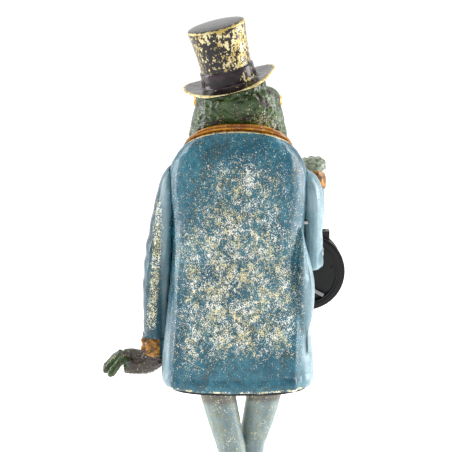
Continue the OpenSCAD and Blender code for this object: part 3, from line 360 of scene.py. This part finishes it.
class MaterialBuilder(Nodes):
    """A material under construction, with its patterns laid out in the frame's millimetres."""

    def __init__(self, name):
        self.material = bpy.data.materials.new(name)
        self.material.use_nodes = True
        super().__init__(self.material.node_tree)
        self.tree.nodes.clear()
        self.shader = self.node("ShaderNodeBsdfPrincipled")
        self.put(self.node("ShaderNodeOutputMaterial").inputs[0], self.shader.outputs[0])
        metres = self.node("ShaderNodeTexCoord").outputs["Object"]
        self.place = self.scaled_vector(metres, (1000, 1000, 1000))

    def scaled_vector(self, vector, times=(1, 1, 1), add=(0, 0, 0)):
        made = self.node("ShaderNodeVectorMath", operation="MULTIPLY_ADD")
        self.put(made.inputs[0], vector)
        self.put(made.inputs[1], times)
        self.put(made.inputs[2], add)
        return made.outputs[0]

    def from_point(self, point):
        return self.scaled_vector(self.place, add=tuple(-c for c in point))

    def length(self, vector):
        made = self.node("ShaderNodeVectorMath", operation="LENGTH")
        self.put(made.inputs[0], vector)
        return made.outputs["Value"]

    def along(self, line, origin):
        """Distance from the origin measured along a unit line."""
        made = self.node("ShaderNodeVectorMath", operation="DOT_PRODUCT")
        self.put(made.inputs[0], self.from_point(origin))
        self.put(made.inputs[1], tuple(line))
        return made.outputs["Value"]

    def xyz(self):
        made = self.node("ShaderNodeSeparateXYZ")
        self.put(made.inputs[0], self.place)
        return made.outputs

    def noise(self, scale, detail=3, rough=0.55, add=(0, 0, 0)):
        """Noise with features of the given size, one number or three; `add` picks another pattern."""
        made = self.node("ShaderNodeTexNoise")
        per_feature = tuple(1 / s for s in per_axis(scale))
        self.put(made.inputs["Vector"], self.scaled_vector(self.place, per_feature, add))
        self.put(made.inputs["Scale"], 1)
        self.put(made.inputs["Detail"], detail)
        self.put(made.inputs["Roughness"], rough)
        return made.outputs[0]

    def scaled(self, value, times, add=0.0):
        return self.math("MULTIPLY_ADD", value, times, add)

    def less(self, a, b):
        return self.math("SUBTRACT", a, b)

    def both(self, *masks):
        """Where all the masks are."""
        out = masks[0]
        for mask in masks[1:]:
            out = self.math("MULTIPLY", out, mask)
        return out

    def most(self, *masks):
        """Where any of the masks is."""
        out = masks[0]
        for mask in masks[1:]:
            out = self.math("MAXIMUM", out, mask)
        return out

    def mix(self, mask, a, b):
        """Colour a where the mask is 0 and b where it is 1."""
        made = self.node("ShaderNodeMix", data_type="RGBA")
        # The node's sockets for colours come after those for its other data types
        self.put(made.inputs[0], mask)
        self.put(made.inputs[6], a)
        self.put(made.inputs[7], b)
        return made.outputs[2]

    def blob(self, centre, radii):
        """1 at the centre of an ellipsoid, falling to 0 at its surface."""
        shift = tuple(-c / r for c, r in zip(centre, radii))
        from_centre = self.scaled_vector(self.place, tuple(1 / r for r in radii), shift)
        return self.step(self.length(from_centre), 1.0, 0.0)

    def convex(self, low, high):
        """1 on outward edges and ridges."""
        return self.step(self.node("ShaderNodeNewGeometry").outputs["Pointiness"], low, high)

    def bump(self, height, strength, distance, after=None):
        """A surface roughened by the height; `after` is a bump that it adds to."""
        made = self.node("ShaderNodeBump")
        self.put(made.inputs["Strength"], strength)
        self.put(made.inputs["Distance"], distance / 1000)
        self.put(made.inputs["Height"], height)
        if after is not None:
            self.put(made.inputs["Normal"], after)
        return made.outputs[0]

    def done(self, color, rough, metal, normal=None, coat=0.0, coat_rough=0.1):
        inputs = self.shader.inputs
        self.put(inputs["Base Color"], color)
        self.put(inputs["Roughness"], rough)
        self.put(inputs["Metallic"], metal)
        self.put(inputs["Coat Weight"], coat)
        self.put(inputs["Coat Roughness"], coat_rough)
        self.put(inputs["Specular IOR Level"], 0.3)
        if normal is not None:
            self.put(inputs["Normal"], normal)
        return self.material


# ------------------------------------------------------------------ worn paint
CREAM = srgb(244, 246, 234)
GOLD = srgb(222, 215, 168)
BROWN = srgb(62, 48, 34)
ORANGE = srgb(186, 124, 18)


def worn(m, paint, amount, speck=0.66, brown=0.5, cream=CREAM, gold=GOLD, soft=0.02):
    """Paint flaked off in clusters of specks down to cream and gold, with brown round each flake.

    The amount is 0 for almost none and 1 for more than half. Gives the colour and the flakes' mask.
    """
    grain = m.noise((speck, speck, speck * 1.2), 2.2, 0.75)
    cluster = m.noise(speck * 5, 2, 0.6, add=(4, 9, 2))
    drive = m.scaled(m.less(cluster, 0.5), 0.33, grain)
    drive = m.scaled(amount, 0.19, drive)
    flake = m.step(drive, 0.69 - soft, 0.69 + soft)
    ground = m.mix(m.step(m.noise(8, 4, 0.7, add=(2, 2, 8)), 0.42, 0.58), gold, cream)
    halo = m.scaled(m.step(drive, 0.63, 0.70), brown)
    return m.mix(flake, m.mix(halo, paint, BROWN), ground), flake


def paint_finish(m, color, flake, rough=0.26, metal=0.2, coat=0.12):
    """Old gloss paint: pitted, slightly wavy, and lower where it has flaked off."""
    normal = m.bump(m.noise(0.9, 3, 0.6), 0.25, 0.12)
    normal = m.bump(m.less(1.0, flake), 0.5, 0.07, normal)
    normal = m.bump(m.noise(4.5, 2, 0.5), 0.3, 0.3, normal)
    rough = m.scaled(flake, 0.22, m.scaled(m.noise(3, 2), 0.12, rough - 0.06))
    return m.done(color, rough, m.scaled(flake, metal), normal, coat, coat_rough=0.14)


def above_collar_foot(m, slope_in_front=0.0):
    """Height over the line where the collar meets the coat."""
    x, y, z = m.xyz()
    foot = m.scaled(m.math("MINIMUM", y, 0.0), slope_in_front, COLLAR_FOOT)
    foot = m.scaled(m.math("MAXIMUM", y, 0.0), COLLAR_SLOPE_BEHIND, foot)
    return m.less(z, foot)


def skin_colour(m):
    """Mottled green with brown patches, and brown all over the left wrist."""
    x = m.xyz()[0]
    green = m.mix(m.step(m.noise(7, 3, 0.6), 0.38, 0.62), srgb(34, 54, 26), srgb(60, 84, 42))
    patches = m.step(m.noise(8, 3, 0.6, add=(8, 3, 5)), 0.54, 0.62)
    wrist = m.both(m.step(x, 50, 52), m.step(x, 76, 70))
    return m.mix(m.most(patches, m.scaled(wrist, 0.85)), green, srgb(60, 46, 46))


def pale_skin_colour(m):
    patches = m.step(m.noise(2.4, 3, 0.6, add=(6, 2, 2)), 0.40, 0.62)
    return m.mix(patches, srgb(160, 168, 152), srgb(84, 96, 74))


def orange_colour(m):
    """Orange gone brown in patches, with small lighter chips."""
    patches = m.step(m.noise(4, 3, 0.6, add=(1, 1, 1)), 0.34, 0.58)
    chips = m.scaled(m.step(m.noise(1.6, 3, 0.7), 0.62, 0.66), 0.6)
    return m.mix(chips, m.mix(patches, ORANGE, srgb(84, 54, 12)), srgb(226, 186, 104))


# ------------------------------------------------------------------ coat
def coat_blue(m):
    """Teal paint, cloudy and stained, with painted shade darkening the left sleeve."""
    color = m.mix(m.step(m.noise(30, 3, 0.6), 0.35, 0.68), srgb(30, 88, 108), srgb(58, 120, 138))
    clouds = m.scaled(m.step(m.noise(4, 4, 0.7, add=(5, 5, 5)), 0.42, 0.66), 0.6)
    color = m.mix(clouds, color, srgb(22, 62, 76))
    stain = m.scaled(m.step(m.noise((6, 6, 11), 4, 0.7, add=(1, 6, 2)), 0.53, 0.64), 0.55)
    color = m.mix(stain, color, srgb(66, 70, 54))
    dust = m.scaled(m.step(m.noise(0.8, 3, 0.7, add=(9, 1, 4)), 0.50, 0.62), 0.65)
    color = m.mix(dust, color, srgb(24, 46, 56))
    # Painted shade: the left sleeve is mixed towards a dark teal
    painted_sleeve_shade = m.scaled(m.step(m.xyz()[0], 46.5, 49), 0.55)
    return m.mix(painted_sleeve_shade, color, srgb(18, 50, 58))


def rubbed_back(m):
    """Wear of the coat's back: cloudy patches over its middle and right, and least near the hem."""
    middle = m.blob((0, 34, 74), (62, 80, 100))
    upper = m.blob((-4, 30, 138), (40, 60, 26))
    column = m.blob((-9, 34, 84), (24, 70, 78))
    right = m.blob((-26, 34, 50), (22, 70, 60))
    corner = m.blob((24, 34, 34), (28, 60, 36))
    near_hem = m.blob((-4, 34, 8), (60, 60, 34))
    amount = m.most(m.scaled(middle, 1.35), m.scaled(upper, 0.95), m.scaled(column, 1.4),
                    m.scaled(right, 0.85), m.scaled(corner, 0.9))
    cloud = m.step(m.noise((9, 30, 15), 3, 0.65, add=(3, 1, 7)), 0.38, 0.58)
    amount = m.both(m.math("MINIMUM", amount, 0.86), m.scaled(cloud, 0.55, 0.45))
    amount = m.less(amount, m.scaled(near_hem, 0.6))
    return m.math("MAXIMUM", m.math("ADD", amount, 0.1), -0.1)


def coat_wear(m):
    """The back's wear, a worn hem, a rubbed streak down the left sleeve, cleaner sides, worn ridges."""
    x, y, z = m.xyz()
    hem = m.both(m.step(z, 4.6, 3.4), m.step(m.noise(9, 2, 0.5), 0.34, 0.6))
    off_streak = m.math("ABSOLUTE", m.less(x, m.scaled(z, -0.085, 60.2)))
    streak = m.both(m.step(off_streak, 5.2, 1.4), m.step(x, 47, 50), m.step(z, 134, 118), m.step(z, 30, 40))
    side = m.both(m.step(m.math("ABSOLUTE", x), 40, 46), m.less(1.0, streak))
    amount = m.scaled(hem, 1.3, rubbed_back(m))
    amount = m.scaled(streak, 0.7, amount)
    amount = m.less(amount, m.scaled(side, 0.25))
    return m.scaled(m.convex(0.53, 0.60), 0.35, amount)


def painted_side_highlights(m):
    """Painted highlight: the right side and a strip beside the left sleeve are painted pale, in upright
    streaks, for the bright edges that the side lights give.
    """
    x, y, z = m.xyz()
    right = m.step(x, -39, -45)
    left = m.both(m.step(x, 43, 47), m.step(x, 51, 48))
    streaks = m.scaled(m.noise((6, 6, 20), 3, 0.6), 0.9, 0.12)
    return m.both(m.most(right, left), m.step(z, 150, 130), streaks)


def right_arm_parts(m):
    """Masks of the right forearm from its cuff upwards, and from its hand upwards."""
    x, y, z = m.xyz()
    on_forearm = m.both(m.step(x, -39.4, -39.6), m.step(y, -21.6, -22.0))
    reach = m.along(FOREARM_LINE, ELBOW)
    cuff = m.both(on_forearm, m.step(reach, CUFF_FOOT - 0.2, CUFF_FOOT + 0.2))
    hand = m.both(on_forearm, m.step(reach, CUFF_TOP - 0.2, CUFF_TOP + 0.2))
    return cuff, hand


def coat_material():
    m = MaterialBuilder("coat_paint")
    x, y, z = m.xyz()
    color, flake = worn(m, coat_blue(m), coat_wear(m), 0.58, 0.6)
    # Painted highlight: pale upright streaks on the right side and beside the left sleeve
    color = m.mix(m.scaled(painted_side_highlights(m), 0.75), color, srgb(174, 198, 204))
    # Painted shade: a dark line along the crease near the right side
    crease = m.step(m.blob((-44.8, 20, 32.5), (1.0, 40, 11)), 0.05, 0.3)
    color = m.mix(m.scaled(crease, 0.8), color, srgb(34, 48, 52))
    # The collar's orange comes a little way down over the coat, with a chipped edge
    lift = above_collar_foot(m, COLLAR_SLOPE_IN_FRONT)
    fall = m.step(lift, -2.9, -2.6)
    chipped = m.both(m.step(lift, -3.7, -3.4), m.step(m.noise(2.2, 2), 0.34, 0.54))
    color = m.mix(chipped, color, srgb(214, 196, 146))
    # Orange cuffs, and the skin of the right hand, pale at its top
    right_cuff, hand = right_arm_parts(m)
    left_cuff = m.both(m.step(x, 51.4, 52.2), m.step(z, LEFT_CUFF_EDGE, LEFT_CUFF_EDGE - 0.4),
                       m.step(z, 10, 12))
    orange = m.most(right_cuff, left_cuff, fall)
    color = m.mix(orange, color, orange_colour(m))
    skin = m.mix(m.scaled(m.step(z, 130, 136), 0.75), skin_colour(m), pale_skin_colour(m))
    color = m.mix(hand, color, skin)
    return paint_finish(m, color, m.both(flake, m.less(1.0, m.most(orange, hand))))


# ------------------------------------------------------------------ other paints
def skin_material():
    m = MaterialBuilder("skin_paint")
    low_right = m.blob((-14, 18, 170), (22, 30, 15))
    nape = m.blob((0, 18, 170), (30, 30, 8))
    amount = m.math("ADD", m.most(m.scaled(low_right, 0.95), m.scaled(nape, 0.5)), 0.10)
    amount = m.scaled(m.convex(0.51, 0.57), 0.38, amount)
    color, flake = worn(m, skin_colour(m), amount, 0.9, 0.5, srgb(214, 206, 158), srgb(166, 160, 96))
    return paint_finish(m, color, flake, 0.24, 0.2, 0.18)


def hat_material():
    """Black over gold: worn most on the crown, round its top rim and along the brim's edge."""
    m = MaterialBuilder("hat_paint")
    height = m.along(HAT_AXIS, HAT_SEAT)
    far = m.length(m.from_point(HAT_SEAT))
    radius = m.math("SQRT", m.math("MAXIMUM", m.less(m.both(far, far), m.both(height, height)), 0.0))
    crown = m.both(m.step(height, BAND_TOP, BAND_TOP + 0.4), m.step(height, CROWN_TOP + 0.4, CROWN_TOP - 0.2))
    band = m.both(m.step(height, BAND_FOOT, BAND_FOOT + 0.4), m.step(height, BAND_TOP, BAND_TOP - 0.4),
                  m.step(radius, 19.6, 19.2))
    brim_edge = m.step(radius, 28.3, 29.0)
    rim = m.step(m.math("ABSOLUTE", m.less(height, CROWN_TOP)), 1.0, 0.3)
    chipped_band = m.both(band, m.blob((-8, 20, 204), (9, 14, 9)))
    left_low = m.blob((17, 20, 214), (13, 24, 24))
    amount = m.scaled(rim, 1.3, m.scaled(chipped_band, 1.1))
    amount = m.scaled(crown, 0.95, m.scaled(brim_edge, 1.7, amount))
    amount = m.less(amount, m.scaled(left_low, 0.8))
    black = m.mix(m.step(m.noise(7, 3, 0.6), 0.36, 0.66), srgb(14, 12, 12), srgb(34, 24, 18))
    purple = m.mix(m.step(m.noise((9, 9, 4), 2), 0.4, 0.7), srgb(24, 12, 18), srgb(58, 38, 48))
    color, flake = worn(m, m.mix(band, black, purple), amount, 2.2, 0.5,
                        srgb(220, 208, 160), srgb(178, 154, 84), 0.035)
    return paint_finish(m, color, flake, 0.22, 0.25, 0.18)


def trouser_material():
    """Slate blue with yellowed streaks, and painted shadow, brownish, from the calf up under the hem."""
    m = MaterialBuilder("trouser_paint")
    z = m.xyz()[2]
    color = m.mix(m.step(m.noise((10, 10, 26), 3, 0.6), 0.36, 0.66), srgb(140, 156, 154), srgb(108, 130, 138))
    streaks = m.step(m.noise((1.6, 1.6, 7), 3, 0.7, add=(3, 3, 1)), 0.50, 0.66)
    color = m.mix(m.scaled(streaks, 0.75), color, srgb(140, 138, 98))
    # Painted shadow: brownish darkening from the calf up, where the coat's hem shades the legs
    painted_hem_shadow = m.both(m.step(z, -38, -33), m.scaled(m.noise(6, 2), 0.6, 0.45))
    color = m.mix(painted_hem_shadow, color, srgb(96, 84, 72))
    color, flake = worn(m, color, 0.30, 1.1, 0.2, srgb(222, 220, 196), srgb(188, 180, 128))
    return paint_finish(m, color, flake, 0.34, 0.2, 0.08)


def trim_material():
    """The collar: orange with brown patches, painted shade as a dark line near its foot, and small gold
    chips.
    """
    m = MaterialBuilder("trim_paint")
    lift = above_collar_foot(m)
    color = m.mix(m.step(m.noise(8, 3, 0.6), 0.36, 0.66), ORANGE, srgb(134, 78, 22))
    # Painted shade: a dark band low on the collar, just above its foot
    color = m.mix(m.both(m.step(lift, 2.6, 0.8), m.step(lift, 0.2, 0.7)), color, srgb(104, 56, 16))
    color = m.mix(m.scaled(m.step(m.noise(1.4, 3, 0.7), 0.60, 0.68), 0.5), color, srgb(206, 150, 66))
    color, flake = worn(m, color, 0.12, 0.8, 0.4)
    return paint_finish(m, color, flake, 0.26, 0.2, 0.18)


def tie_material():
    m = MaterialBuilder("tie_paint")
    color = m.mix(m.step(m.noise(9, 4, 0.65), 0.36, 0.66), srgb(120, 28, 24), srgb(88, 20, 20))
    color, flake = worn(m, color, m.scaled(m.convex(0.515, 0.58), 0.4, 0.05), 0.9)
    return paint_finish(m, color, flake, 0.3)


def eye_material():
    """Gloss yellow with a flat oval pupil low on the outer front of each eye."""
    m = MaterialBuilder("eye_paint")
    pupils = 0.0
    for side in (-1, 1):
        centre = ((EYE[0] + PUPIL_SHIFT[0]) * side, EYE[1] + PUPIL_SHIFT[1], EYE[2] + PUPIL_SHIFT[2])
        spot = m.step(m.blob(centre, (3.9, 3.9, 2.9)), 0.08, 0.14)
        pupils = m.math("ADD", pupils, spot, clamp=True)
    color = m.mix(pupils, srgb(206, 156, 40), srgb(16, 14, 14))
    return m.done(color, 0.12, 0.0, coat=0.5, coat_rough=0.05)


def metal(name, color, rough):
    m = MaterialBuilder(name)
    normal = m.bump(m.noise(1.2, 3), 0.1, 0.05)
    return m.done(color, m.scaled(m.noise(2.4, 3), 0.2, rough - 0.1), 1.0, normal)


def plain(name, color, rough, metallic=0.0):
    m = MaterialBuilder(name)
    normal = m.bump(m.noise(0.5, 2), 0.15, 0.05)
    return m.done(color, m.scaled(m.noise(4, 3), 0.18, rough - 0.09), metallic, normal)


MATERIALS = {
    "coat_paint": coat_material(),
    "trim_paint": trim_material(),
    "skin_paint": skin_material(),
    "hat_paint": hat_material(),
    "trouser_paint": trouser_material(),
    "tie_paint": tie_material(),
    "black_paint": plain("black_paint", srgb(10, 9, 10), 0.26),
    "bare_iron": plain("bare_iron", srgb(62, 56, 52), 0.62, 0.7),
    "steel": metal("steel", srgb(178, 178, 180), 0.36),
    "bright_steel": metal("bright_steel", srgb(128, 129, 132), 0.34),
    "brass": metal("brass", srgb(196, 156, 78), 0.34),
    "brass_relief": metal("brass_relief", srgb(176, 136, 66), 0.4),
    "black_plastic": plain("black_plastic", srgb(9, 9, 11), 0.32),
    "rubber": plain("rubber", srgb(24, 24, 25), 0.7),
    "eye_paint": eye_material(),
}


def dress(obj, slot):
    obj.data.materials.clear()
    obj.data.materials.append(MATERIALS[slot])


# ------------------------------------------------------------------ the figure
slot_of = {part["node"]: part["material_slot"] for part in frame["record"]["subparts"]}
body_of = {}
for body, members in frame["record"]["behaviour"]["bodies"].items():
    for node in members:
        body_of[node] = body
for node, slot in slot_of.items():
    dress(nodes[node], slot)

# Node, voxel in millimetres, relief, smoothing passes
CASTINGS = [
    ("coat_back", 0.8, coat_back_relief, 12),
    ("coat_front", 1.0, coat_front_relief, 6),
    ("left_arm", 0.6, left_sleeve_relief, 6),
    ("right_upper_arm", 0.5, right_sleeve_relief, 3),
    ("right_forearm", 0.5, forearm_relief, 4),
    ("left_hand", 0.5, hand_relief, 4),
    ("head", 0.65, head_relief, 6),
    ("top_hat", 0.55, hat_relief, 4),
    ("collar", 0.45, collar_relief, 4),
    ("left_leg", 0.8, leg_relief, 8),
    ("right_leg", 0.8, leg_relief, 8),
    ("left_foot", 0.5, foot_relief, 5),
    ("right_foot", 0.5, foot_relief, 5),
    ("bow_tie", 0.35, None, 4),
]
coarseness = 1.0
for node, voxel, relief, passes in CASTINGS:
    dress(casting(node, voxel * coarseness, relief, passes, body_of[node]), slot_of[node])


# ------------------------------------------------------------------ studio
def add_floor():
    """A white floor just under the feet, bright enough to lose its edge in the background."""
    floor_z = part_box("left_foot")[0].z - 0.002
    mesh = bpy.data.meshes.new("floor")
    half = 8
    outline = [(-half, -half, floor_z), (half, -half, floor_z), (half, half, floor_z), (-half, half, floor_z)]
    mesh.from_pydata(outline, [], [(0, 1, 2, 3)])
    floor = bpy.data.objects.new("floor", mesh)
    bpy.context.scene.collection.objects.link(floor)
    white = bpy.data.materials.new("floor_white")
    white.use_nodes = True
    inputs = white.node_tree.nodes["Principled BSDF"].inputs
    inputs["Base Color"].default_value = (0.93, 0.93, 0.93, 1)
    inputs["Roughness"].default_value = 0.9
    inputs["Emission Color"].default_value = (1, 1, 1, 1)
    inputs["Emission Strength"].default_value = 0.42
    mesh.materials.append(white)


def add_room():
    """A pale room: white behind the figure's front, dimmer behind his back, white along the horizon."""
    world = bpy.data.worlds.new("studio")
    bpy.context.scene.world = world
    world.use_nodes = True
    room = Nodes(world.node_tree)
    direction = room.node("ShaderNodeSeparateXYZ")
    room.put(direction.inputs[0], room.node("ShaderNodeTexCoord").outputs["Generated"])
    front_to_back = room.step(direction.outputs["Y"], 0.35, -0.45, 0.32, 1.06)
    horizon = room.step(room.math("ABSOLUTE", direction.outputs["Z"]), 0.24, 0.14)
    background = world.node_tree.nodes["Background"].inputs
    room.put(background["Strength"], room.math("MAXIMUM", front_to_back, horizon))
    room.put(background["Color"], (1, 1, 1, 1))


def aim(obj, at, target):
    obj.location = at
    obj.rotation_euler = (Vector(target) - Vector(at)).to_track_quat("-Z", "Y").to_euler()


def add_light(name, at, width, height, power):
    light = bpy.data.lights.new(name, "AREA")
    light.shape = "RECTANGLE"
    light.size = width
    light.size_y = height
    light.energy = power
    obj = bpy.data.objects.new(name, light)
    bpy.context.scene.collection.objects.link(obj)
    aim(obj, at, (0, 0, 0.09))


def add_camera():
    """Behind the figure, a little above level, from 1.2 m."""
    lens = bpy.data.cameras.new("camera")
    lens.lens = 147.0
    lens.sensor_width = 36
    lens.clip_start = 0.05
    lens.clip_end = 60
    camera = bpy.data.objects.new("camera", lens)
    bpy.context.scene.collection.objects.link(camera)
    elevation = math.radians(11)
    target = Vector((0.0078, 0, 0.1054))
    aim(camera, target + 1.2 * Vector((0, math.cos(elevation), math.sin(elevation))), target)
    bpy.context.scene.camera = camera


add_floor()
add_room()
add_light("strip_left", (1.0, -0.25, 0.30), 0.4, 1.3, 11)
add_light("strip_right", (-1.0, -0.12, 0.30), 0.45, 1.3, 17)
add_light("key_back", (0.3, 0.7, 1.7), 1.6, 1.6, 13)
add_camera()
bpy.context.scene.view_settings.view_transform = "Standard"
